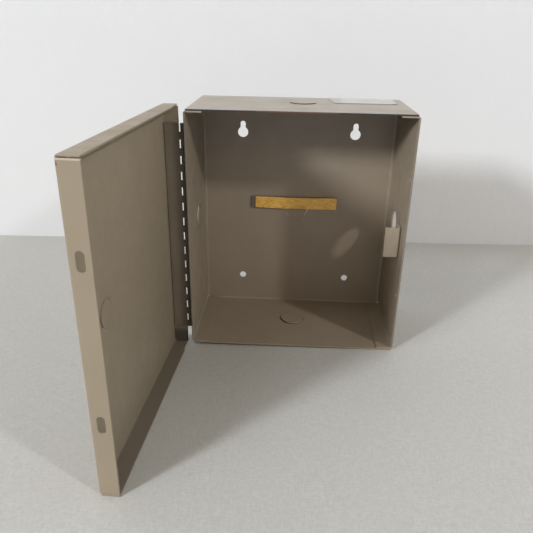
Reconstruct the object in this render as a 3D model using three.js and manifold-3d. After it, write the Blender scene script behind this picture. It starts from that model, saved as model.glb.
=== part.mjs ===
// Small wall-mounted sheet-steel enclosure with a hinged tray door.
// Units are millimetres, +Z is up, and the door side faces -Y.
// Origin: centre of the outer face of the back panel, which hangs on the wall.

import * as THREE from 'three';
import { mergeVertices } from 'three/addons/utils/BufferGeometryUtils.js';
import Module from 'manifold-3d';

const wasm = await Module();
wasm.setup();

// ---- driving dimensions -------------------------------------------------------------------

const BOX_WIDTH = 177.8;
const BOX_HEIGHT = 203.2;
const BOX_DEPTH = 88.9;
const SHEET = 1.2;
const BEND_INSIDE = 0.6;
const BEND_OUTSIDE = BEND_INSIDE + SHEET;
const BEND_STEPS = 4;
const TOUCH_GAP = 0.3;

const TAB_WIDTH = 14;
const TAB_GAP = 0.15;
const WRAP_INSET = 1.6;
const SIDE_BACK_INSET = 3;

const KNOCKOUT_RADIUS = 11.1;
const KNOCKOUT_SLIT = 0.35;
const KNOCKOUT_TIE = 2.4;
const SIDE_KNOCKOUT_Y = -36.5;
const SIDE_KNOCKOUT_Z = -0.5;
const BOTTOM_KNOCKOUT_Y = -40;
const TOP_KNOCKOUT_X = 1.9;
const TOP_KNOCKOUT_Y = -36.5;
const CUT_OVERRUN = 1;

// How far each loosened slug leans and twists, in degrees, and where its tie points.
const LEFT_SLUG = { lean: 3.3, twist: 2.5 };
const BOTTOM_SLUG = { lean: 4.6, twist: 0, tieAngle: 50 };
const TOP_SLUG = { lean: 2.4, twist: 0, tieAngle: 90 };
const LOCK_SLUG = { lean: 2.6, twist: -1 };

const MOUNT_HOLE_X = 51.2;
const KEYHOLE_Z = 70;
const KEYHOLE_HEAD_RADIUS = 4.7;
const KEYHOLE_SLOT_RADIUS = 2.35;
const KEYHOLE_SLOT_RISE = 7.7;
const LOWER_HOLE_Z = -73;
const LOWER_HOLE_RADIUS = 3.1;

const COVER_SCREW_Z = 50.8;
const COVER_SCREW_INSET = 7.5;
const COVER_SCREW_RADIUS = 1.6;

const DOOR_WIDTH = 182.2;
const DOOR_HEIGHT = 209.2;
const DOOR_DEPTH = 13.1;
const DOOR_SEAM = 0.35;
const DOOR_SLOT_RADIUS = 2.5;
const DOOR_SLOT_LENGTH = 12;
const DOOR_SLOT_INSET = 6.1;
const DOOR_EDGE_RELIEF = 0.9;
const DOOR_EDGE_RELIEF_LENGTH = 15;
const LOCK_RADIUS = 9.5;
const LOCK_FROM_HINGE = 145;
const LOCK_Z = 1.4;
const DOOR_OPEN = THREE.MathUtils.degToRad(93);

const PIN_RADIUS = 0.7;
const KNUCKLE_RADIUS = 1.6;
const KNUCKLE_BORE = 0.95;
const KNUCKLE_PITCH = 6.35;
const KNUCKLE_COUNT = 28;
const KNUCKLE_GAP = 0.3;
const HINGE_LEAF = 0.8;
const HINGE_LEAF_WIDTH = 13.9;
const HINGE_TOP = 90.5;
const HINGE_NOTCH = 2.65;
const PIN_SETBACK = 4.65;

const STRIKE_SETBACK = 16;
const STRIKE_REACH = 12.8;
const STRIKE_FOOT = 14;
const STRIKE_BOTTOM = -19.2;
const STRIKE_TOP = 7.1;

const TAPE_LEFT = -43.2;
const TAPE_RIGHT = 37.6;
const LINER_LEFT = -38.9;
const LINER_RIGHT = 38.2;
const TAPE_BOTTOM = -1.2;
const TAPE_HEIGHT = 11.6;
const TAPE_THICKNESS = 1.5;
const LINER_THICKNESS = 0.2;

const LABEL_LEFT = 24.5;
const LABEL_RIGHT = 80;
const LABEL_SKEW = 3;
const LABEL_FRONT_INSET = 53;
const LABEL_BACK_INSET = 2.4;
const LABEL_THICKNESS = 0.2;

// ---- derived places -----------------------------------------------------------------------

const SIDE_X = BOX_WIDTH / 2;
const TOP_Z = BOX_HEIGHT / 2;
const FRONT_Y = -BOX_DEPTH;
const PIN_X = -SIDE_X - TOUCH_GAP - KNUCKLE_RADIUS;
const PIN_Y = FRONT_Y + PIN_SETBACK;
const HINGE_LENGTH = KNUCKLE_COUNT * KNUCKLE_PITCH;

// ---- materials ----------------------------------------------------------------------------

function paint(color) {
  return new THREE.MeshStandardMaterial({ color, roughness: 0.55, metalness: 0.1 });
}

const materials = {
  shell: paint(0x8f8573),
  door: paint(0xa3977f),
  strike: paint(0x9a8e79),
  hinge: paint(0x6d6556),
  pin: new THREE.MeshStandardMaterial({ color: 0x8d8d8b, roughness: 0.35, metalness: 0.9 }),
  foam: new THREE.MeshStandardMaterial({ color: 0x3a322b, roughness: 0.95, metalness: 0 }),
  liner: new THREE.MeshStandardMaterial({ color: 0xb88d3f, roughness: 0.7, metalness: 0 }),
  label: new THREE.MeshStandardMaterial({ color: 0xe4e3df, roughness: 0.6, metalness: 0 }),
};

// ---- solid helpers ------------------------------------------------------------------------

function toSolid(geometry) {
  const bare = geometry.index ? geometry.toNonIndexed() : geometry.clone();
  bare.deleteAttribute('normal');
  bare.deleteAttribute('uv');
  const merged = mergeVertices(bare, 1e-4);
  return new wasm.Manifold(new wasm.Mesh({
    numProp: 3,
    vertProperties: new Float32Array(merged.attributes.position.array),
    triVerts: new Uint32Array(merged.index.array),
  }));
}

function toMesh(solid, name, material) {
  const data = solid.getMesh();
  const geometry = new THREE.BufferGeometry();
  geometry.setAttribute('position', new THREE.BufferAttribute(new Float32Array(data.vertProperties), 3));
  geometry.setIndex(new THREE.BufferAttribute(new Uint32Array(data.triVerts), 1));
  geometry.computeVertexNormals();
  const mesh = new THREE.Mesh(geometry, material);
  mesh.name = name;
  return mesh;
}

function block(x, y, z) {
  const geometry = new THREE.BoxGeometry(x[1] - x[0], y[1] - y[0], z[1] - z[0]);
  geometry.translate((x[0] + x[1]) / 2, (y[0] + y[1]) / 2, (z[0] + z[1]) / 2);
  return toSolid(geometry);
}

// An outline drawn in the two other axes, swept along one axis:
// along x it is drawn in (y, z), along y in (x, z) and along z in (x, y).
const SWEEP_FRAMES = {
  x: new THREE.Matrix4().set(0, 0, 1, 0, 1, 0, 0, 0, 0, 1, 0, 0, 0, 0, 0, 1),
  y: new THREE.Matrix4().set(1, 0, 0, 0, 0, 0, -1, 0, 0, 1, 0, 0, 0, 0, 0, 1),
  z: new THREE.Matrix4(),
};

function sweep(outline, axis, from, to) {
  const shape = outline instanceof THREE.Shape ? outline : new THREE.Shape(outline);
  const geometry = new THREE.ExtrudeGeometry(shape, {
    depth: to - from,
    bevelEnabled: false,
    curveSegments: 24,
  });
  geometry.translate(0, 0, axis === 'y' ? -to : from);
  geometry.applyMatrix4(SWEEP_FRAMES[axis]);
  return toSolid(geometry);
}

// Cross-section of a bent sheet. The corners are the sharp outer corners of the folds;
// turn is 1 when every fold turns left along the path and -1 when every fold turns right.
function foldedSection(corners, turn) {
  const points = corners.map(([a, b]) => new THREE.Vector2(a, b));
  const inward = (direction) => new THREE.Vector2(-direction.y, direction.x).multiplyScalar(turn);
  const outer = [];
  const inner = [];
  for (let i = 0; i < points.length; i += 1) {
    const before = i > 0 ? points[i].clone().sub(points[i - 1]).normalize() : null;
    const after = i < points.length - 1 ? points[i + 1].clone().sub(points[i]).normalize() : null;
    if (!before || !after) {
      outer.push(points[i].clone());
      inner.push(points[i].clone().addScaledVector(inward(before || after), SHEET));
      continue;
    }
    const centre = points[i].clone()
      .addScaledVector(before, -BEND_OUTSIDE)
      .addScaledVector(inward(before), BEND_OUTSIDE);
    for (let k = 0; k <= BEND_STEPS; k += 1) {
      const angle = (turn * k * Math.PI) / 2 / BEND_STEPS;
      const spoke = inward(before).negate().rotateAround(new THREE.Vector2(), angle);
      outer.push(centre.clone().addScaledVector(spoke, BEND_OUTSIDE));
      inner.push(centre.clone().addScaledVector(spoke, BEND_INSIDE));
    }
  }
  const outline = outer.concat(inner.reverse());
  return THREE.ShapeUtils.area(outline) > 0 ? outline : outline.reverse();
}

function circleShape(radius, a = 0, b = 0) {
  const shape = new THREE.Shape();
  shape.absarc(a, b, radius, 0, Math.PI * 2, false);
  return shape;
}

// A slot with round ends, running along the second axis of its plane.
function slotShape(radius, a, low, high) {
  const shape = new THREE.Shape();
  shape.absarc(a, high, radius, 0, Math.PI, false);
  shape.absarc(a, low, radius, Math.PI, Math.PI * 2, false);
  return shape;
}

function drum(radius, axis, from, to, a, b) {
  return sweep(circleShape(radius, a, b), axis, from, to);
}

// The fine slit around a knockout, broken by two ties that hold the slug.
function knockoutSlit(radius, axis, from, to, a, b, tieAngle) {
  const ring = circleShape(radius + KNOCKOUT_SLIT / 2);
  ring.holes.push(new THREE.Path().absarc(0, 0, radius - KNOCKOUT_SLIT / 2, 0, Math.PI * 2, true));
  const tie = new THREE.Shape([
    new THREE.Vector2(-radius - 1, -KNOCKOUT_TIE / 2),
    new THREE.Vector2(radius + 1, -KNOCKOUT_TIE / 2),
    new THREE.Vector2(radius + 1, KNOCKOUT_TIE / 2),
    new THREE.Vector2(-radius - 1, KNOCKOUT_TIE / 2),
  ].map((point) => point.rotateAround(new THREE.Vector2(), tieAngle)));
  const slit = sweep(ring, axis, from, to).subtract(sweep(tie, axis, from - 1, to + 1));
  const place = { x: [0, a, b], y: [a, 0, b], z: [a, b, 0] }[axis];
  return slit.translate(place);
}

// ---- enclosure ----------------------------------------------------------------------------

// One folded blank: the back, top and bottom in one wrap, and side walls whose end tabs
// tuck in under the top and over the bottom.
function sideWall(side) {
  const x = side * SIDE_X;
  const z = TOP_Z - SHEET - TAB_GAP;
  const tabEnd = x - side * TAB_WIDTH;
  const wall = sweep(
    foldedSection([[tabEnd, z], [x, z], [x, -z], [tabEnd, -z]], -side),
    'y', FRONT_Y, -SIDE_BACK_INSET,
  );
  const backBend = sweep(
    foldedSection([[x, -SIDE_BACK_INSET - 1], [x, 0], [x - side * 6, 0]], side),
    'z', -z + BEND_OUTSIDE, z - BEND_OUTSIDE,
  );
  return wall.add(backBend);
}

function keyhole(x) {
  const head = drum(KEYHOLE_HEAD_RADIUS, 'y', -SHEET - 1, 1, x, KEYHOLE_Z);
  const slot = slotShape(KEYHOLE_SLOT_RADIUS, x, KEYHOLE_Z, KEYHOLE_Z + KEYHOLE_SLOT_RISE);
  return head.add(sweep(slot, 'y', -SHEET - 1, 1));
}

// A knockout slug worked loose: free all round but for one tie, and leaning out of the sheet.
// The sheet lies from z 0 to its thickness, the tie is on the +X side and the -X side lifts.
function looseSlug(radius, { lean, twist }) {
  const slugRadius = radius - KNOCKOUT_SLIT;
  const slug = drum(slugRadius, 'z', 0, SHEET, 0, 0)
    .translate([-slugRadius, 0, 0])
    .rotate([twist, lean, 0])
    .translate([slugRadius, 0, 0]);
  const tie = block(
    [radius - 1.2, radius + 0.4],
    [-KNOCKOUT_TIE / 2, KNOCKOUT_TIE / 2],
    [0, SHEET],
  );
  return slug.add(tie);
}

function boxShell() {
  const wrapX = SIDE_X - WRAP_INSET;
  const wrap = sweep(
    foldedSection([[FRONT_Y, TOP_Z], [0, TOP_Z], [0, -TOP_Z], [FRONT_Y, -TOP_Z]], -1),
    'x', -wrapX, wrapX,
  );
  let shell = wrap.add(sideWall(-1)).add(sideWall(1));
  for (const x of [-1, 1]) {
    shell = shell.subtract(keyhole(x * MOUNT_HOLE_X));
    shell = shell.subtract(
      drum(LOWER_HOLE_RADIUS, 'y', -SHEET - 1, 1, x * MOUNT_HOLE_X, LOWER_HOLE_Z),
    );
    shell = shell.subtract(drum(
      COVER_SCREW_RADIUS, 'x', SIDE_X - SHEET - 1, SIDE_X + 1,
      FRONT_Y + COVER_SCREW_INSET, x * COVER_SCREW_Z,
    ));
  }
  const sheetCuts = {
    back: [-SHEET - CUT_OVERRUN, CUT_OVERRUN],
    top: [TOP_Z - SHEET - CUT_OVERRUN, TOP_Z + CUT_OVERRUN],
    bottom: [-TOP_Z - CUT_OVERRUN, -TOP_Z + SHEET + CUT_OVERRUN],
    left: [-SIDE_X - CUT_OVERRUN, -SIDE_X + SHEET + CUT_OVERRUN],
    right: [SIDE_X - SHEET - CUT_OVERRUN, SIDE_X + CUT_OVERRUN],
  };
  const sideKnockout = [SIDE_KNOCKOUT_Y, SIDE_KNOCKOUT_Z];
  return shell
    .subtract(knockoutSlit(KNOCKOUT_RADIUS, 'y', ...sheetCuts.back, 0, 0, 0.35))
    .subtract(drum(KNOCKOUT_RADIUS, 'z', ...sheetCuts.top, TOP_KNOCKOUT_X, TOP_KNOCKOUT_Y))
    .subtract(drum(KNOCKOUT_RADIUS, 'z', ...sheetCuts.bottom, 0, BOTTOM_KNOCKOUT_Y))
    .subtract(drum(KNOCKOUT_RADIUS, 'x', ...sheetCuts.left, ...sideKnockout))
    .subtract(drum(KNOCKOUT_RADIUS, 'x', ...sheetCuts.right, ...sideKnockout))
    .add(looseSlug(KNOCKOUT_RADIUS, TOP_SLUG)
      .rotate([0, 0, TOP_SLUG.tieAngle])
      .translate([TOP_KNOCKOUT_X, TOP_KNOCKOUT_Y, TOP_Z - SHEET]))
    .add(looseSlug(KNOCKOUT_RADIUS, BOTTOM_SLUG)
      .rotate([0, 0, BOTTOM_SLUG.tieAngle])
      .translate([0, BOTTOM_KNOCKOUT_Y, -TOP_Z]))
    .add(looseSlug(KNOCKOUT_RADIUS, LEFT_SLUG)
      .rotate([90, 0, 90])
      .translate([-SIDE_X, ...sideKnockout]));
}

// Angle bracket spot-welded inside the right wall; the lock's cam turns behind it.
function latchStrike() {
  const wallX = SIDE_X - SHEET - TOUCH_GAP;
  const y = FRONT_Y + STRIKE_SETBACK;
  const section = foldedSection([[wallX - STRIKE_REACH, y], [wallX, y], [wallX, y + STRIKE_FOOT]], 1);
  return sweep(section, 'z', STRIKE_BOTTOM, STRIKE_TOP);
}

// ---- hinge --------------------------------------------------------------------------------

// One leaf of the continuous hinge around a pin on the Z axis. Its plate lies on the +X side
// of the pin and runs along Y in the given direction; its knuckles start at the given index.
function hingeLeaf(direction, first) {
  const span = (near, far) => [Math.min(near * direction, far * direction),
    Math.max(near * direction, far * direction)];
  const leafX = [KNUCKLE_RADIUS - HINGE_LEAF, KNUCKLE_RADIUS];
  let leaf = block(leafX, span(HINGE_NOTCH, HINGE_LEAF_WIDTH), [HINGE_TOP - HINGE_LENGTH, HINGE_TOP]);
  for (let k = first; k < KNUCKLE_COUNT; k += 2) {
    const high = HINGE_TOP - k * KNUCKLE_PITCH - KNUCKLE_GAP / 2;
    const low = high - KNUCKLE_PITCH + KNUCKLE_GAP;
    const arm = block(leafX, span(0, HINGE_NOTCH + 1), [low, high]);
    const barrel = toSolid(new THREE.CylinderGeometry(KNUCKLE_RADIUS, KNUCKLE_RADIUS, high - low, 16)
      .rotateX(Math.PI / 2).translate(0, 0, (low + high) / 2));
    leaf = leaf.add(arm).add(barrel);
  }
  const bore = toSolid(new THREE.CylinderGeometry(KNUCKLE_BORE, KNUCKLE_BORE, HINGE_LENGTH + 4, 12)
    .rotateX(Math.PI / 2).translate(0, 0, HINGE_TOP - HINGE_LENGTH / 2));
  return leaf.subtract(bore);
}

function hingePin() {
  const length = HINGE_LENGTH - 0.4;
  return toSolid(new THREE.CylinderGeometry(PIN_RADIUS, PIN_RADIUS, length, 12)
    .rotateX(Math.PI / 2).translate(0, 0, HINGE_TOP - HINGE_LENGTH / 2));
}

// ---- door ---------------------------------------------------------------------------------

// The door is drawn closed, around the hinge pin on the Z axis.
const DOOR_EDGE_Y = -HINGE_NOTCH;
const DOOR_FACE_Y = DOOR_EDGE_Y - DOOR_DEPTH;
const DOOR_HINGE_X = KNUCKLE_RADIUS - HINGE_LEAF - TOUCH_GAP - SHEET;
const DOOR_FREE_X = DOOR_HINGE_X + DOOR_WIDTH;
const DOOR_TOP_Z = DOOR_HEIGHT / 2;

function doorTray() {
  const face = DOOR_FACE_Y;
  const edge = DOOR_EDGE_Y;
  const sideEnd = DOOR_TOP_Z - SHEET - DOOR_SEAM;
  const wide = sweep(
    foldedSection([[edge, DOOR_TOP_Z], [face, DOOR_TOP_Z], [face, -DOOR_TOP_Z], [edge, -DOOR_TOP_Z]], 1),
    'x', DOOR_HINGE_X + BEND_OUTSIDE, DOOR_FREE_X - BEND_OUTSIDE,
  );
  const tall = sweep(
    foldedSection([[DOOR_HINGE_X, edge], [DOOR_HINGE_X, face], [DOOR_FREE_X, face], [DOOR_FREE_X, edge]], 1),
    'z', -sideEnd, sideEnd,
  );
  let tray = wide.add(tall);
  for (const side of [-1, 1]) {
    const z = side > 0 ? [DOOR_TOP_Z - SHEET, DOOR_TOP_Z] : [-DOOR_TOP_Z, -DOOR_TOP_Z + SHEET];
    tray = tray.add(block([DOOR_HINGE_X, DOOR_FREE_X], [face + BEND_OUTSIDE, edge], z));
    tray = tray.subtract(block(
      [DOOR_HINGE_X - 1, DOOR_HINGE_X + DOOR_EDGE_RELIEF_LENGTH],
      [edge - DOOR_EDGE_RELIEF, edge + 1],
      side > 0 ? [z[0] - DOOR_SEAM, z[1] + 1] : [z[0] - 1, z[1] + DOOR_SEAM],
    ));
    const slotReach = DOOR_SLOT_LENGTH / 2 - DOOR_SLOT_RADIUS;
    const slotZ = side * COVER_SCREW_Z;
    tray = tray.subtract(sweep(
      slotShape(DOOR_SLOT_RADIUS, edge - DOOR_SLOT_INSET, slotZ - slotReach, slotZ + slotReach),
      'x', DOOR_FREE_X - SHEET - 1, DOOR_FREE_X + 1,
    ));
  }
  const lockX = DOOR_HINGE_X + LOCK_FROM_HINGE;
  return tray
    .subtract(drum(LOCK_RADIUS, 'y', face - CUT_OVERRUN, face + SHEET + CUT_OVERRUN, lockX, LOCK_Z))
    .add(looseSlug(LOCK_RADIUS, LOCK_SLUG).rotate([90, 0, 180]).translate([lockX, face, LOCK_Z]));
}

// ---- things stuck on ----------------------------------------------------------------------

const TAPE_BACK_Y = -SHEET - TOUCH_GAP;

function foamTape() {
  return block(
    [TAPE_LEFT, TAPE_RIGHT],
    [TAPE_BACK_Y - TAPE_THICKNESS, TAPE_BACK_Y],
    [TAPE_BOTTOM + 0.4, TAPE_BOTTOM + TAPE_HEIGHT - 0.4],
  );
}

function tapeLiner() {
  const back = TAPE_BACK_Y - TAPE_THICKNESS - TOUCH_GAP;
  return block(
    [LINER_LEFT, LINER_RIGHT],
    [back - LINER_THICKNESS, back],
    [TAPE_BOTTOM, TAPE_BOTTOM + TAPE_HEIGHT],
  );
}

function paperLabel() {
  const low = TOP_Z + TOUCH_GAP;
  return sweep([
    new THREE.Vector2(LABEL_LEFT + LABEL_SKEW, FRONT_Y + LABEL_FRONT_INSET),
    new THREE.Vector2(LABEL_RIGHT, FRONT_Y + LABEL_FRONT_INSET),
    new THREE.Vector2(LABEL_RIGHT, -LABEL_BACK_INSET),
    new THREE.Vector2(LABEL_LEFT, -LABEL_BACK_INSET),
  ], 'z', low, low + LABEL_THICKNESS);
}

// ---- assembly -----------------------------------------------------------------------------

const enclosure = new THREE.Group();
enclosure.add(toMesh(boxShell(), 'box_shell', materials.shell));
enclosure.add(toMesh(latchStrike(), 'latch_strike', materials.strike));
enclosure.add(toMesh(foamTape(), 'foam_tape', materials.foam));
enclosure.add(toMesh(tapeLiner(), 'tape_liner', materials.liner));
enclosure.add(toMesh(paperLabel(), 'paper_label', materials.label));

const hingeLine = new THREE.Group();
hingeLine.position.set(PIN_X, PIN_Y, 0);
hingeLine.add(toMesh(hingeLeaf(1, 0), 'hinge_leaf_box', materials.hinge));
hingeLine.add(toMesh(hingePin(), 'hinge_pin', materials.pin));

const door = new THREE.Group();
door.rotation.z = -DOOR_OPEN;
door.add(toMesh(doorTray(), 'door_tray', materials.door));
door.add(toMesh(hingeLeaf(-1, 1), 'hinge_leaf_door', materials.hinge));
hingeLine.add(door);

const panelBox = new THREE.Group();
panelBox.add(enclosure, hingeLine);

export default panelBox;
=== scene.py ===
import math

import bmesh
import bpy
from mathutils import Matrix, Vector, noise


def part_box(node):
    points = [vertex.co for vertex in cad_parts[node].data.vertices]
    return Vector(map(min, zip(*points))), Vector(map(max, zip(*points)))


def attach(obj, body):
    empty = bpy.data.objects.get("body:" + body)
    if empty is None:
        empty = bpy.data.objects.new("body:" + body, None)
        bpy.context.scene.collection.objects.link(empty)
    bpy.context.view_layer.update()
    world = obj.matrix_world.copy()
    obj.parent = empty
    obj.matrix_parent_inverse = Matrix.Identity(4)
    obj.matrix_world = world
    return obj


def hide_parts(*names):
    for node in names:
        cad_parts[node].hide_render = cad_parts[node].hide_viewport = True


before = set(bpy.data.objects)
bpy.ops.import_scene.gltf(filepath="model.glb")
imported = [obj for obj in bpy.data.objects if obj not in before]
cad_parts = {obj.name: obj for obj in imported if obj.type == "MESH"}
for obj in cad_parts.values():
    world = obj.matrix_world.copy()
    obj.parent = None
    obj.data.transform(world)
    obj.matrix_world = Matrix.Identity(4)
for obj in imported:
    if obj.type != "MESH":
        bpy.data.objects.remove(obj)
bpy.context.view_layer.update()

# Lengths are in millimetres and are turned to metres where a mesh or the camera is made.
# Materials measure the object's own coordinates in millimetres. Only the lights are in metres.
MM = 0.001


def box(node):
    """The low and high corners of a CAD node's box."""
    return (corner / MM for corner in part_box(node))


SHELL_LO, SHELL_HI = box("box_shell")
DOOR_LO, DOOR_HI = box("door_tray")
PIN_LO, PIN_HI = box("hinge_pin")
PIN_X, PIN_Y = ((PIN_LO + PIN_HI) / 2).xy

# The loosened slug in the top stands above it, so the top is measured from the bottom.
BOTTOM = SHELL_LO.z
TOP = -BOTTOM
SIDE, FRONT, BACK = SHELL_HI.x, SHELL_LO.y, SHELL_HI.y
SHEET = 1.2
INNER_SIDE, INNER_BACK, INNER_BOTTOM = SIDE - SHEET, BACK - SHEET, BOTTOM + SHEET


# ---- camera ---------------------------------------------------------------------------------

IMAGE_SIDE = 533
FOCAL_PIXELS = 554.9
SENSOR = 36.0
# The camera's place and turn fit the box's and the door's edges in the photo.
EYE = Vector((-5.6, -514.3, 161.55))
YAW, PITCH, ROLL = (math.radians(angle) for angle in (-2.435, -23.671, 1.089))
NEAREST, FARTHEST = 10, 20000


def make_camera():
    forward = Vector((
        math.sin(YAW) * math.cos(PITCH),
        math.cos(YAW) * math.cos(PITCH),
        math.sin(PITCH),
    ))
    level = Vector((math.cos(YAW), -math.sin(YAW), 0))
    upright = level.cross(forward)
    right = level * math.cos(ROLL) + upright * math.sin(ROLL)
    up = upright * math.cos(ROLL) - level * math.sin(ROLL)
    data = bpy.data.cameras.new("camera")
    data.sensor_width = SENSOR
    data.lens = FOCAL_PIXELS / IMAGE_SIDE * SENSOR
    data.clip_start, data.clip_end = NEAREST * MM, FARTHEST * MM
    camera = bpy.data.objects.new("camera", data)
    bpy.context.scene.collection.objects.link(camera)
    axes = Matrix((right, up, -forward)).transposed().to_4x4()
    camera.matrix_world = Matrix.Translation(EYE * MM) @ axes
    bpy.context.scene.camera = camera


make_camera()


# ---- materials ------------------------------------------------------------------------------

class Nodes:
    """Short ways to build the node tree of a material or of the world."""

    def __init__(self, tree):
        self.tree = tree

    def put(self, socket, value):
        if isinstance(value, bpy.types.NodeSocket):
            self.tree.links.new(value, socket)
        else:
            socket.default_value = value

    def node(self, kind, values=None, **settings):
        made = self.tree.nodes.new(kind)
        for key, value in settings.items():
            setattr(made, key, value)
        for key, value in (values or {}).items():
            self.put(made.inputs[key], value)
        return made

    def split(self, vector):
        outputs = self.node("ShaderNodeSeparateXYZ", {"Vector": vector}).outputs
        return outputs["X"], outputs["Y"], outputs["Z"]

    def mix(self, factor, a, b):
        """A colour between a and b. Sockets 6 and 7 are the two colours of a colour mix."""
        made = self.node("ShaderNodeMix", data_type="RGBA")
        for socket, value in ((0, factor), (6, a), (7, b)):
            self.put(made.inputs[socket], (*value, 1) if isinstance(value, tuple) else value)
        return made.outputs[2]


class Surface(Nodes):
    """A Principled material, with procedural values to drive its inputs."""

    def __init__(self, name, **sockets):
        self.material = bpy.data.materials.new(name)
        self.material.use_nodes = True
        super().__init__(self.material.node_tree)
        self.bsdf = self.tree.nodes["Principled BSDF"]
        self.set(**sockets)
        coordinates = self.node("ShaderNodeTexCoord").outputs["Object"]
        self.place = self.vector("MULTIPLY", coordinates, (1 / MM, 1 / MM, 1 / MM))
        self.x, self.y, self.z = self.split(self.place)
        self.normal = self.node("ShaderNodeNewGeometry").outputs["Normal"]

    def set(self, **sockets):
        for socket, value in sockets.items():
            self.put(self.bsdf.inputs[socket.replace("_", " ")], value)

    def vector(self, operation, *values, output="Vector"):
        values = dict(enumerate(values))
        return self.node("ShaderNodeVectorMath", values, operation=operation).outputs[output]

    def math(self, operation, a, b=0.0):
        return self.node("ShaderNodeMath", {0: a, 1: b}, operation=operation).outputs[0]

    def multiply(self, *values):
        result = values[0]
        for value in values[1:]:
            result = self.math("MULTIPLY", result, value)
        return result

    def ramp(self, value, low, high, to_low=0.0, to_high=1.0):
        """A smooth step: to_low where value is below low, to_high where it is above high."""
        made = self.node("ShaderNodeMapRange", {
            "Value": value, "From Min": low, "From Max": high, "To Min": to_low, "To Max": to_high,
        }, interpolation_type="SMOOTHSTEP")
        return made.outputs["Result"]

    def fall(self, value, low, high):
        """1 where value is below low, 0 where it is above high."""
        return self.ramp(value, low, high, 1.0, 0.0)

    def window(self, value, low, high, soft=0.1):
        """1 where value is between low and high, 0 elsewhere."""
        rise = self.ramp(value, low - soft, low + soft)
        return self.multiply(rise, self.fall(value, high - soft, high + soft))

    def noise(self, size, detail=2.0, stretch=(1, 1, 1), offset=0.0):
        """Noise whose features are about size millimetres across, from 0 to 1."""
        mapped = self.node("ShaderNodeMapping", {
            "Vector": self.place,
            "Scale": tuple(1 / (size * longer) for longer in stretch),
            "Location": (offset, offset, offset),
        })
        made = self.node("ShaderNodeTexNoise", {
            "Vector": mapped.outputs[0], "Scale": 1.0, "Detail": detail,
        })
        return made.outputs["Fac"]

    def dot(self, centre, radius, edge=0.4):
        """1 inside a ball round centre, 0 outside it, with a rough rim."""
        away = self.vector("DISTANCE", self.place, centre, output="Value")
        ragged = self.math("ADD", away, self.ramp(self.noise(1.2), 0, 1, -edge, edge))
        return self.fall(ragged, radius * 0.75, radius * 1.1)

    def bump(self, height, distance, strength=1.0, normal=None):
        values = {"Height": height, "Distance": distance * MM, "Strength": strength}
        if normal is not None:
            values["Normal"] = normal
        return self.node("ShaderNodeBump", values).outputs["Normal"]

    def bends(self, radius):
        """(rounded normal, 1 along bends and edges within radius)."""
        bevel = self.node("ShaderNodeBevel", {"Radius": radius * MM}, samples=4)
        rounded = bevel.outputs["Normal"]
        likeness = self.vector("DOT_PRODUCT", self.normal, rounded, output="Value")
        return rounded, self.fall(likeness, 0.7, 0.985)


# Bare and rusty metal, with a painted dark reflection on the steel and a painted glint on the
# copper.
SIDE_EDGE_DARK = (0.10, 0.10, 0.11)
STEEL_WITH_DARK_REFLECTION = (0.036, 0.034, 0.040)
RUST = (0.22, 0.085, 0.04)
SEAM_RUST = (0.17, 0.085, 0.055)
LIP_RUST = (0.105, 0.056, 0.038)
RIM_RUST = (0.10, 0.068, 0.052)
COPPER_AND_GLINT = (0.45, 0.20, 0.09)
# Dust with a painted sheen, and painted shade that darkens the paint.
DUST_AND_SHEEN = (0.46, 0.42, 0.375)
PANEL_SHADE = (0.15, 0.125, 0.095)
SHELF_SHADE = (0.125, 0.10, 0.085)
HINGE_FOOT_SHADE = (0.06, 0.048, 0.040)
KNUCKLE_SHADE = (0.075, 0.060, 0.046)
# Paint rubbed pale, and painted highlights along bends.
PALE_SEAM = (0.62, 0.55, 0.45)
PALE_BRUSHED = (0.55, 0.47, 0.37)
BEND_HIGHLIGHT = (0.50, 0.43, 0.34)
PALE_SPOT = (0.5, 0.44, 0.35)
FOOT_BEND_HIGHLIGHT = (0.42, 0.35, 0.27)


def brighter(colour, gain):
    return tuple(min(1, gain * channel) for channel in colour)


class Enamel(Surface):
    """Satin taupe enamel on sheet steel: cloudy tone, orange peel, smudges, and edges rubbed pale
    that also carry a painted highlight along edges and bends.
    """

    def __init__(self, name, pale, deep, roughness=0.42, rubbed=0.35, waviness=1.0):
        super().__init__(name)
        clouds = self.noise(34, detail=3)
        grain = self.noise(0.9, detail=2)
        self.smudge = self.noise(13, detail=4, offset=7.3)
        rounded, edge = self.bends(0.55)
        tone = self.mix(self.ramp(clouds, 0.32, 0.68), deep, pale)
        fleck = self.ramp(self.noise(0.55, detail=1, offset=3.1), 0.56, 0.74)
        tone = self.mix(self.multiply(fleck, 0.10), tone, brighter(pale, 1.5))
        streak = self.ramp(self.noise(1.1, detail=2, stretch=(1, 1, 26), offset=1.7), 0.66, 0.8)
        tone = self.mix(self.multiply(streak, 0.12), tone, brighter(pale, 1.35))
        # Edges and bends made paler: rubbed paint, and also a painted highlight where the bends
        # catch light.
        worn_and_highlit = self.multiply(edge, self.ramp(self.smudge, 0.2, 0.6, 0.4, 1.0), rubbed)
        self.colour = self.mix(worn_and_highlit, tone, brighter(pale, 1.7))
        chips = self.multiply(edge, self.ramp(self.noise(2.6, detail=2, offset=11), 0.66, 0.70))
        self.colour = self.mix(self.multiply(chips, 0.55), self.colour, RUST)
        self.rough = self.ramp(self.smudge, 0.3, 0.7, roughness - 0.05, roughness + 0.09)
        waves = self.bump(self.noise(46, detail=1, offset=5), 0.7 * waviness, 0.35, rounded)
        self.bumped = self.bump(grain, 0.035, 0.5, waves)

    def paint_over(self, factor, colour, roughness=None):
        self.colour = self.mix(factor, self.colour, colour)
        if roughness is not None:
            kept = self.multiply(self.rough, self.math("SUBTRACT", 1.0, factor))
            self.rough = self.math("ADD", kept, self.multiply(factor, roughness))

    def finish(self):
        self.set(Base_Color=self.colour, Roughness=self.rough, Normal=self.bumped)
        return self.material


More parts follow.
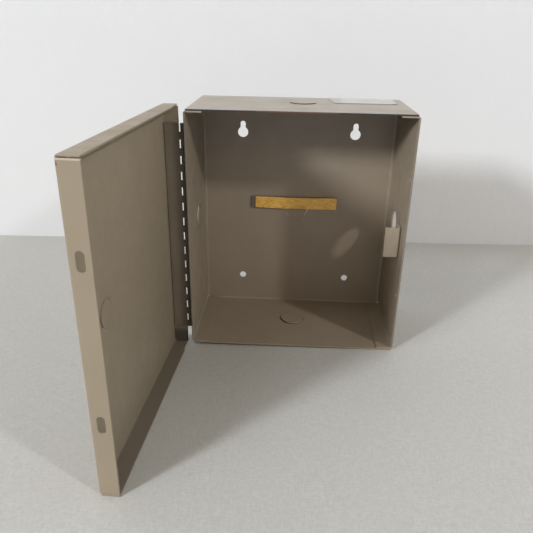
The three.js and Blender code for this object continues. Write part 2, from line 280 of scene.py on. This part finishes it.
# The loosened slug in the top: its middle, its reach, and the heights its sheared rim is between.
SLUG_X, SLUG_Y, SLUG_REACH = 1.9, BACK - 36.5, 11.5
SLUG_RIM_LOW, SLUG_RIM_HIGH = TOP - 1.4, TOP + 0.75
# The rusty middle of the top's front edge, from left to right.
RUSTY_LEFT, RUSTY_RIGHT = -34, 28.5
# Bare copper-coloured metal with a painted glint at the lower left corner of the back: how far
# right of the side, and its radius.
COPPER_GLINT_SPOTS = ((2.6, 1.5), (6.2, 2.0))
# Rubbed spots inside the left wall: y, z and radius.
LEFT_WALL_SPOTS = ((-64.7, 47.8, 1.6), (-52.0, -17.0, 1.1), (-70.0, -61.0, 1.2))


def shell_enamel():
    s = Enamel("shell_enamel", (0.310, 0.255, 0.192), (0.296, 0.243, 0.181), waviness=1.3)
    across = s.math("ABSOLUTE", s.x)
    # A dry, dusty haze lies on the top, and its pale colour also paints in the sheen of the top.
    on_top = s.ramp(s.z, TOP - 0.4, TOP - 0.1)
    mottle = s.noise(15, detail=4, stretch=(1.6, 1, 1), offset=2)
    mottle = s.ramp(mottle, 0.28, 0.66, 0.45, 1.0)
    s.paint_over(s.multiply(on_top, mottle, 0.8), DUST_AND_SHEEN, 0.55)
    # The sheared front edges: bare steel along the top, darkened as a painted dark reflection,
    # rusty in its middle, and a thinner darkening down the side walls' front edges.
    at_front = s.fall(s.y, FRONT + 0.05, FRONT + 0.15)
    lip = s.multiply(at_front, s.window(s.z, TOP - SHEET - 0.05, TOP + 1, 0.05))
    s.paint_over(lip, STEEL_WITH_DARK_REFLECTION, 0.5)
    s.paint_over(s.multiply(lip, s.window(s.x, RUSTY_LEFT, RUSTY_RIGHT, 0.6)), LIP_RUST, 0.6)
    sides = s.multiply(at_front, s.ramp(across, INNER_SIDE, INNER_SIDE + 0.2))
    s.paint_over(s.multiply(sides, 0.45), SIDE_EDGE_DARK, 0.5)
    # The sheared rim of the raised slug, rusty brown. It doesn't face up.
    facing_up = s.split(s.normal)[2]
    rim = s.multiply(s.window(s.z, SLUG_RIM_LOW, SLUG_RIM_HIGH, 0.05),
                     s.fall(facing_up, 0.5, 0.8))
    at_slug = s.multiply(s.window(s.x, SLUG_X - SLUG_REACH, SLUG_X + SLUG_REACH),
                         s.window(s.y, SLUG_Y - SLUG_REACH, SLUG_Y + SLUG_REACH))
    s.paint_over(s.multiply(rim, at_slug), RIM_RUST, 0.6)
    # Painted highlight: lighter lines along the inside bends of the back and along the side walls'
    # feet, where the bends catch light.
    near_back = s.ramp(s.y, INNER_BACK - 1.6, INNER_BACK - 1.1)
    side_bend_highlight = s.window(across, INNER_SIDE - 2.0, INNER_SIDE - 1.0, 0.25)
    foot_bend_highlight = s.window(s.z, INNER_BOTTOM + 0.7, INNER_BOTTOM + 1.7, 0.25)
    back_bend_highlight = s.multiply(near_back, s.math("MAXIMUM", side_bend_highlight, foot_bend_highlight))
    wall_foot_highlight = s.multiply(s.window(across, INNER_SIDE - 0.3, INNER_SIDE + 0.2, 0.1),
                           s.window(s.z, INNER_BOTTOM + 1, INNER_BOTTOM + 2.2, 0.3))
    bends = s.math("MAXIMUM", back_bend_highlight, wall_foot_highlight)
    s.paint_over(s.multiply(bends, s.ramp(s.smudge, 0.25, 0.6, 0.12, 0.5)), BEND_HIGHLIGHT, 0.35)
    # Bare corner where the bends meet at the lower left of the back, with a painted glint, and
    # rubbed spots.
    for x, radius in COPPER_GLINT_SPOTS:
        bare_and_glint = s.dot((-SIDE + x, BACK - 2.2, BOTTOM + 2.2), radius, 0.9)
        s.paint_over(s.multiply(bare_and_glint, 0.8), COPPER_AND_GLINT, 0.35)
    for y, z, radius in LEFT_WALL_SPOTS:
        s.paint_over(s.multiply(s.dot((-INNER_SIDE, y, z), radius), 0.35), PALE_SPOT)
    return s.finish()


# The rust spot near the top of the door's free edge.
RUST_SPOT = (DOOR_LO.x + 0.6, DOOR_LO.y + 0.8, 100.1)


def door_enamel():
    s = Enamel("door_enamel", (0.305, 0.248, 0.176), (0.296, 0.240, 0.169))
    # The seam across the top of the free flange: rusty, over a line rubbed pale.
    free_flange = s.fall(s.y, DOOR_LO.y + 2.2, DOOR_LO.y + 2.6)
    seam = s.multiply(free_flange, s.window(s.z, DOOR_HI.z - 1.5, DOOR_HI.z - 0.7, 0.15))
    ragged = s.ramp(s.noise(3.2, detail=3, offset=9), 0.36, 0.5)
    s.paint_over(s.multiply(seam, ragged, 0.8), SEAM_RUST, 0.6)
    under = s.multiply(free_flange, s.window(s.z, DOOR_HI.z - 2.6, DOOR_HI.z - 1.7, 0.25))
    s.paint_over(s.multiply(under, 0.6), PALE_SEAM)
    s.paint_over(s.dot(RUST_SPOT, 1.1, 0.3), RUST, 0.6)
    # Painted shade inside the door: darker towards the bottom of the panel, darker on the bottom
    # flange, and darkest at the foot of the hinge flange.
    behind_panel = s.ramp(s.x, DOOR_LO.x + 1.0, DOOR_LO.x + 1.2)
    inside = s.multiply(behind_panel, s.ramp(s.y, DOOR_LO.y + 1.6, DOOR_LO.y + 2.0))
    lower_panel_shade = s.multiply(inside, s.ramp(s.z, DOOR_LO.z, DOOR_HI.z, 0.28, 0.0))
    s.paint_over(lower_panel_shade, PANEL_SHADE)
    shelf = s.multiply(inside, s.fall(s.z, DOOR_LO.z + 1.6, DOOR_LO.z + 2.4))
    s.paint_over(s.multiply(shelf, 0.55), SHELF_SHADE)
    hinge_flange = s.multiply(inside, s.ramp(s.y, DOOR_HI.y - 2.6, DOOR_HI.y - 1.8))
    hinge_corner = s.multiply(hinge_flange, s.fall(s.z, BOTTOM + 7, BOTTOM + 16))
    s.paint_over(s.multiply(hinge_corner, 0.85), HINGE_FOOT_SHADE)
    # A painted highlight: a lighter line along the inside bend at the panel's foot.
    foot_highlight = s.multiply(s.window(s.x, DOOR_LO.x + 1.3, DOOR_LO.x + 2.4, 0.2),
                      s.window(s.z, DOOR_LO.z + 1.3, DOOR_LO.z + 2.4, 0.2))
    s.paint_over(s.multiply(foot_highlight, 0.5), FOOT_BEND_HIGHLIGHT)
    return s.finish()


# Painted shade: the hinge's enamel is the box's paint made darker, for the shade the hinge lies
# in.
def shaded_hinge_enamel():
    s = Enamel("shaded_hinge_enamel", (0.205, 0.167, 0.126), (0.18, 0.147, 0.110),
               roughness=0.38, rubbed=0.2)
    # Painted shade: the leaves darken towards the knuckles.
    from_pin = s.vector("SUBTRACT", s.place, (PIN_X, PIN_Y, 0))
    level = s.vector("MULTIPLY", from_pin, (1, 1, 0))
    reach = s.vector("LENGTH", level, output="Value")
    s.paint_over(s.ramp(reach, 2.5, 11, 0.85, 0.0), KNUCKLE_SHADE)
    return s.finish()


# Painted light: the strike's enamel is the box's paint made paler, for the light on its
# front-facing tab.
def lit_strike_enamel():
    s = Enamel("lit_strike_enamel", (0.42, 0.350, 0.265), (0.365, 0.302, 0.226), rubbed=0.25)
    brushed = s.ramp(s.noise(0.9, detail=3, stretch=(1, 1, 14), offset=4), 0.35, 0.7)
    s.paint_over(s.multiply(brushed, 0.35), PALE_BRUSHED)
    return s.finish()


def pin_steel():
    s = Surface("pin_steel", Metallic=1.0)
    drawn = s.noise(0.3, detail=2, stretch=(1, 1, 40))
    s.set(Base_Color=s.mix(drawn, (0.16, 0.15, 0.14), (0.30, 0.29, 0.28)))
    s.set(Roughness=s.ramp(s.noise(3), 0.3, 0.7, 0.32, 0.55), Normal=s.bump(drawn, 0.02))
    return s.material


def foam():
    s = Surface("foam_dark")
    cells = s.node("ShaderNodeTexVoronoi", {"Vector": s.place, "Scale": 2.2}).outputs["Distance"]
    walls, hollows = (0.205, 0.168, 0.133), (0.150, 0.121, 0.095)
    s.set(Base_Color=s.mix(s.ramp(cells, 0.1, 0.7), walls, hollows))
    s.set(Roughness=s.ramp(cells, 0, 0.8, 0.8, 0.97), Normal=s.bump(cells, 0.12))
    return s.material


def kraft():
    s = Surface("kraft_gold", Specular_IOR_Level=0.6)
    fibre = s.noise(0.8, detail=4, stretch=(5, 1, 1))
    blotch = s.noise(7, detail=4, stretch=(1.5, 1, 1), offset=6)
    gold = s.mix(s.ramp(fibre, 0.3, 0.7), (0.78, 0.41, 0.062), (0.96, 0.62, 0.135))
    gold = s.mix(s.ramp(blotch, 0.5, 0.68, 0.0, 0.45), gold, (0.36, 0.17, 0.03))
    left = s.fall(s.x, -28, -12)
    scuffed = s.multiply(left, s.ramp(s.noise(1.6, detail=3, offset=8), 0.5, 0.62), 0.35)
    gold = s.mix(scuffed, gold, (0.30, 0.16, 0.045))
    crease = s.noise(2.6, detail=3, stretch=(1, 1, 3), offset=2)
    s.set(Base_Color=gold, Roughness=s.ramp(blotch, 0.3, 0.7, 0.34, 0.58))
    s.set(Normal=s.bump(crease, 0.25, 0.6))
    return s.material


def label_paper():
    s = Surface("label_paper")
    fibre = s.noise(0.5, detail=3)
    stain = s.ramp(s.noise(9, detail=3, offset=4), 0.5, 0.75, 0.0, 0.35)
    streak = s.ramp(s.noise(2.2, detail=3, stretch=(7, 1, 1), offset=5), 0.38, 0.6)
    white = s.mix(s.multiply(streak, 0.9), (0.53, 0.52, 0.51), (0.64, 0.635, 0.63))
    grey_end = s.ramp(s.x, 33, 37, 0.45, 0.0)
    white = s.mix(s.math("MAXIMUM", stain, grey_end), white, (0.40, 0.39, 0.38))
    s.set(Base_Color=white, Roughness=s.ramp(fibre, 0.2, 0.8, 0.4, 0.6))
    s.set(Normal=s.bump(s.noise(5), 0.3, 0.5))
    return s.material


# ---- light and stage ------------------------------------------------------------------------

def area_light(name, azimuth, elevation, distance, size, power, colour):
    """A disk of light aimed at the object, in degrees, metres and watts.

    Azimuth goes from straight in front towards +X.
    """
    a, e = math.radians(azimuth), math.radians(elevation)
    away = Vector((math.sin(a) * math.cos(e), -math.cos(a) * math.cos(e), math.sin(e)))
    data = bpy.data.lights.new(name, "AREA")
    data.shape = "DISK"
    data.size = size
    data.energy = power
    data.color = colour
    light = bpy.data.objects.new(name, data)
    light.location = away * distance
    light.rotation_mode = "QUATERNION"
    light.rotation_quaternion = away.to_track_quat("Z", "Y")
    bpy.context.scene.collection.objects.link(light)


area_light("key_left", azimuth=-44, elevation=23, distance=4, size=0.6, power=110,
           colour=(0.92, 0.96, 1))
area_light("high_left", azimuth=-50, elevation=60, distance=3, size=0.8, power=9,
           colour=(0.9, 0.95, 1))
area_light("key_right", azimuth=48.5, elevation=32, distance=1.9, size=0.13, power=9.6,
           colour=(0.96, 0.99, 1))
area_light("fill_right", azimuth=85, elevation=25, distance=2.5, size=1.0, power=5,
           colour=(0.7, 0.88, 1))
area_light("fill_front", azimuth=0, elevation=6, distance=1.9, size=1.2, power=1.3,
           colour=(0.9, 0.95, 1))

# The sky's colours by the sine of their height: dim blue below 13 degrees, warm from 22 to 38,
# and dark above 51.
SKY = (
    (0.22, (0.03, 0.06, 0.22)),
    (0.38, (0.86, 0.72, 0.46)),
    (0.62, (0.86, 0.72, 0.46)),
    (0.78, (0.02, 0.02, 0.03)),
)
PLAIN_SKY = (0.62, 0.63, 0.64)


def make_world():
    world = bpy.data.worlds.new("studio")
    world.use_nodes = True
    nodes = Nodes(world.node_tree)
    direction = nodes.node("ShaderNodeTexCoord").outputs["Generated"]
    sky = nodes.node("ShaderNodeValToRGB", {"Fac": nodes.split(direction)[2]})
    sky.color_ramp.interpolation = "EASE"
    stops = sky.color_ramp.elements
    while len(stops) < len(SKY):
        stops.new(1)
    for stop, (height, colour) in zip(stops, SKY):
        stop.position, stop.color = height, (*colour, 1)
    # The camera doesn't see this sky: the view past the floor is plain and pale.
    seen = nodes.node("ShaderNodeLightPath").outputs["Is Camera Ray"]
    background = world.node_tree.nodes["Background"]
    nodes.put(background.inputs["Color"], nodes.mix(seen, sky.outputs["Color"], PLAIN_SKY))
    bpy.context.scene.world = world


make_world()
bpy.context.scene.view_settings.view_transform = "Standard"


def place_mesh(name, mesh, material):
    mesh.materials.append(material)
    made = bpy.data.objects.new(name, mesh)
    bpy.context.scene.collection.objects.link(made)
    return made


def quad(name, corners, material):
    mesh = bpy.data.meshes.new(name)
    mesh.from_pydata([tuple(Vector(corner) * MM) for corner in corners], [], [(0, 1, 2, 3)])
    mesh.update()
    return place_mesh(name, mesh, material)


# The door hangs a little lower than the box, so the box leans: it stands on the foot of its
# right wall and the foot of the door.
FLOOR_SLOPE = (BOTTOM - DOOR_LO.z) / (SIDE - DOOR_HI.x)
FLOOR_CLEARANCE = 0.05
STAGE = 4000
WALL_Y, WALL_FOOT, WALL_HEAD = 178, -400, 2200


def floor_z(x):
    return BOTTOM - FLOOR_CLEARANCE - (SIDE - x) * FLOOR_SLOPE


def make_stage():
    cloth = Surface("floor_pale", Roughness=0.62)
    warp = cloth.noise(1.1, detail=2, stretch=(4, 0.9, 1))
    weft = cloth.noise(1.1, detail=2, stretch=(0.9, 4, 1), offset=3)
    weave = cloth.multiply(cloth.math("ADD", warp, weft), 0.5)
    tint = cloth.mix(cloth.ramp(weave, 0.3, 0.7), (0.475, 0.468, 0.447), (0.555, 0.545, 0.52))
    cloth.set(Base_Color=tint, Normal=cloth.bump(weave, 0.14, 0.5))
    corners = [(-STAGE, -STAGE), (STAGE, -STAGE), (STAGE, STAGE), (-STAGE, STAGE)]
    floor = quad("floor", [(x, y, floor_z(x)) for x, y in corners], cloth.material)

    # The backdrop shows only its front, so that it doesn't hide the object from behind.
    plaster = Surface("backdrop_pale", Roughness=0.8)
    plaster.set(Base_Color=plaster.mix(plaster.noise(60), (0.70, 0.70, 0.715), (0.72, 0.72, 0.73)))
    plaster.set(Normal=plaster.bump(plaster.noise(9, detail=3), 0.8, 0.5))
    clear = plaster.node("ShaderNodeBsdfTransparent").outputs[0]
    behind = plaster.node("ShaderNodeNewGeometry").outputs["Backfacing"]
    lit = plaster.bsdf.outputs[0]
    sides = plaster.node("ShaderNodeMixShader", {0: behind, 1: lit, 2: clear}).outputs[0]
    plaster.put(plaster.tree.nodes["Material Output"].inputs["Surface"], sides)
    corners = [(-STAGE, WALL_FOOT), (STAGE, WALL_FOOT), (STAGE, WALL_HEAD), (-STAGE, WALL_HEAD)]
    wall = quad("backdrop", [(x, WALL_Y, z) for x, z in corners], plaster.material)


make_stage()


# ---- CAD nodes kept as they are -------------------------------------------------------------

WELD_DISTANCE = 0.002
SHARPEST_BEND = math.radians(32)


def smooth_bends():
    """Nodes that weld a CAD mesh and shade it smooth over bends, sharp over edges."""
    group = bpy.data.node_groups.new("smooth_bends", "GeometryNodeTree")
    for way in ("INPUT", "OUTPUT"):
        group.interface.new_socket("Geometry", in_out=way, socket_type="NodeSocketGeometry")
    nodes, link = group.nodes, group.links.new
    start, end = nodes.new("NodeGroupInput"), nodes.new("NodeGroupOutput")
    plain = nodes.new("GeometryNodeRemoveAttribute")
    plain.inputs["Name"].default_value = "custom_normal"
    weld = nodes.new("GeometryNodeMergeByDistance")
    weld.inputs["Distance"].default_value = WELD_DISTANCE * MM
    faces = nodes.new("GeometryNodeSetShadeSmooth")
    edges = nodes.new("GeometryNodeSetShadeSmooth")
    edges.domain = "EDGE"
    angle = nodes.new("GeometryNodeInputMeshEdgeAngle")
    soft = nodes.new("FunctionNodeCompare")
    soft.operation = "LESS_EQUAL"
    soft.inputs["B"].default_value = SHARPEST_BEND
    link(start.outputs[0], plain.inputs["Geometry"])
    link(plain.outputs["Geometry"], weld.inputs["Geometry"])
    link(weld.outputs["Geometry"], faces.inputs["Geometry"])
    link(faces.outputs["Geometry"], edges.inputs["Geometry"])
    link(angle.outputs["Unsigned Angle"], soft.inputs["A"])
    link(soft.outputs["Result"], edges.inputs["Shade Smooth"])
    link(edges.outputs["Geometry"], end.inputs[0])
    return group


SMOOTH = smooth_bends()
HINGE = shaded_hinge_enamel()
FINISHES = {
    "box_shell": shell_enamel(),
    "door_tray": door_enamel(),
    "latch_strike": lit_strike_enamel(),
    "hinge_leaf_box": HINGE,
    "hinge_leaf_door": HINGE,
    "hinge_pin": pin_steel(),
}
for name, material in FINISHES.items():
    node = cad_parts[name]
    node.data.materials[0] = material
    node.modifiers.new("smooth_bends", "NODES").node_group = SMOOTH
    node.modifiers.new("flat_faces", "WEIGHTED_NORMAL").keep_sharp = True


# ---- soft and paper pieces ------------------------------------------------------------------

SHARP_RIM = math.radians(40)


def slab(name, shape, material, across, along):
    """A thin closed piece: shape(u, v, side) is its point at u, v from 0 to 1 on side 0 or 1."""
    mesh = bmesh.new()
    sheets = [
        [[mesh.verts.new(shape(i / across, j / along, side) * MM) for j in range(along + 1)]
         for i in range(across + 1)]
        for side in (0, 1)
    ]
    for grid in sheets:
        for near, far in zip(grid, grid[1:]):
            for j in range(along):
                mesh.faces.new((near[j], far[j], far[j + 1], near[j + 1]))
    rim = ([(i, 0) for i in range(across)] + [(across, j) for j in range(along)]
           + [(i, along) for i in range(across, 0, -1)] + [(0, j) for j in range(along, 0, -1)])
    for (i, j), (k, m) in zip(rim, rim[1:] + rim[:1]):
        mesh.faces.new((sheets[0][i][j], sheets[0][k][m], sheets[1][k][m], sheets[1][i][j]))
    bmesh.ops.recalc_face_normals(mesh, faces=mesh.faces)
    for face in mesh.faces:
        face.smooth = True
    data = bpy.data.meshes.new(name)
    mesh.to_mesh(data)
    mesh.free()
    data.set_sharp_from_angle(angle=SHARP_RIM)
    return place_mesh(name, data, material)


def wander(value, size, seed):
    """Smooth noise from -1 to 1 along a line, at a feature size in millimetres."""
    return noise.noise(Vector((value / size, seed, 0.5)))


def dress(piece, node, body):
    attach(piece, body)
    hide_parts(node)


def foam_pad():
    """The foam tape, with a crowned rim and a dented face."""
    lo, hi = box("foam_tape")
    crown_depth, crown_width, dent_depth = 0.35, 0.8, 0.06

    def shape(u, v, side):
        x, z = lo.x + (hi.x - lo.x) * u, lo.z + (hi.z - lo.z) * v
        rim = min(x - lo.x, hi.x - x, z - lo.z, hi.z - z)
        crown = crown_depth * max(0.0, 1 - rim / crown_width) ** 2
        dent = dent_depth * (1 + wander(x, 5, 3) + wander(z + x, 3, 8))
        return Vector((x, hi.y if side else lo.y + crown + dent, z))

    pad = slab("foam_pad", shape, foam(), across=100, along=15)
    dress(pad, "foam_tape", "enclosure")


def liner_strip():
    """The release paper: torn along its lower left edge, creased, and curled at both ends."""
    lo, hi = box("tape_liner")
    length = hi.x - lo.x
    thickness = 0.07
    # Shares of the length: the lower edge is torn up to the first, and the paper curls forward
    # left of the second and right of the third.
    torn, curl_left, curl_right = 0.42, 0.05, 0.93

    def edges(x, u):
        """The heights of the lower and upper edge, which both sag in the middle."""
        tear = max(0.0, 1 - u / torn)
        low = lo.z + 0.12 - 0.12 * math.sin(math.pi * u) + 0.16 * wander(x, 6, 1)
        low += 0.75 * tear * abs(wander(x, 2.6, 4)) + 0.5 * tear ** 2
        high = hi.z - 0.1 - 0.55 * math.sin(math.pi * min(1, u * 1.05)) + 0.12 * wander(x, 7, 2)
        return low, high

    def shape(u, v, side):
        x = lo.x + length * u
        low, high = edges(x, u)
        z = low + (high - low) * v
        lift = 0.10 + 0.09 * wander(x + 2 * z, 5, 5) + 0.07 * wander(x * 2 - z, 3, 9)
        curl = 0.45 * max(0.0, (u - curl_right) / (1 - curl_right)) ** 2
        curl += 0.3 * max(0.0, (curl_left - u) / curl_left) ** 2
        front = hi.y - 0.08 - max(0.0, lift) - curl
        return Vector((x, front + (thickness if side else 0.0), z))

    strip = slab("liner_strip", shape, kraft(), across=130, along=14)
    dress(strip, "tape_liner", "enclosure")


def label_sheet():
    """The paper label, with a slanted left edge, bubbles and a lifted corner."""
    lo, hi = box("paper_label")
    slant, thickness, clearance = 3.0, 0.09, 0.01
    corner_lift, corner_reach = 0.6, 7

    def shape(u, v, side):
        y = lo.y + (hi.y - lo.y) * v
        left = lo.x + slant * (1 - v)
        x = left + (hi.x - left) * u
        bubble = 0.07 * max(0.0, wander(x + y, 9, 6)) + 0.05 * max(0.0, wander(x - y, 4, 7))
        from_corner = math.hypot(x - hi.x, y - lo.y)
        lifted = corner_lift * max(0.0, 1 - from_corner / corner_reach) ** 2
        z = lo.z + clearance + bubble + lifted
        return Vector((x, y, z + (thickness if side else 0.0)))

    sheet = slab("label_sheet", shape, label_paper(), across=60, along=36)
    dress(sheet, "paper_label", "enclosure")


foam_pad()
liner_strip()
label_sheet()
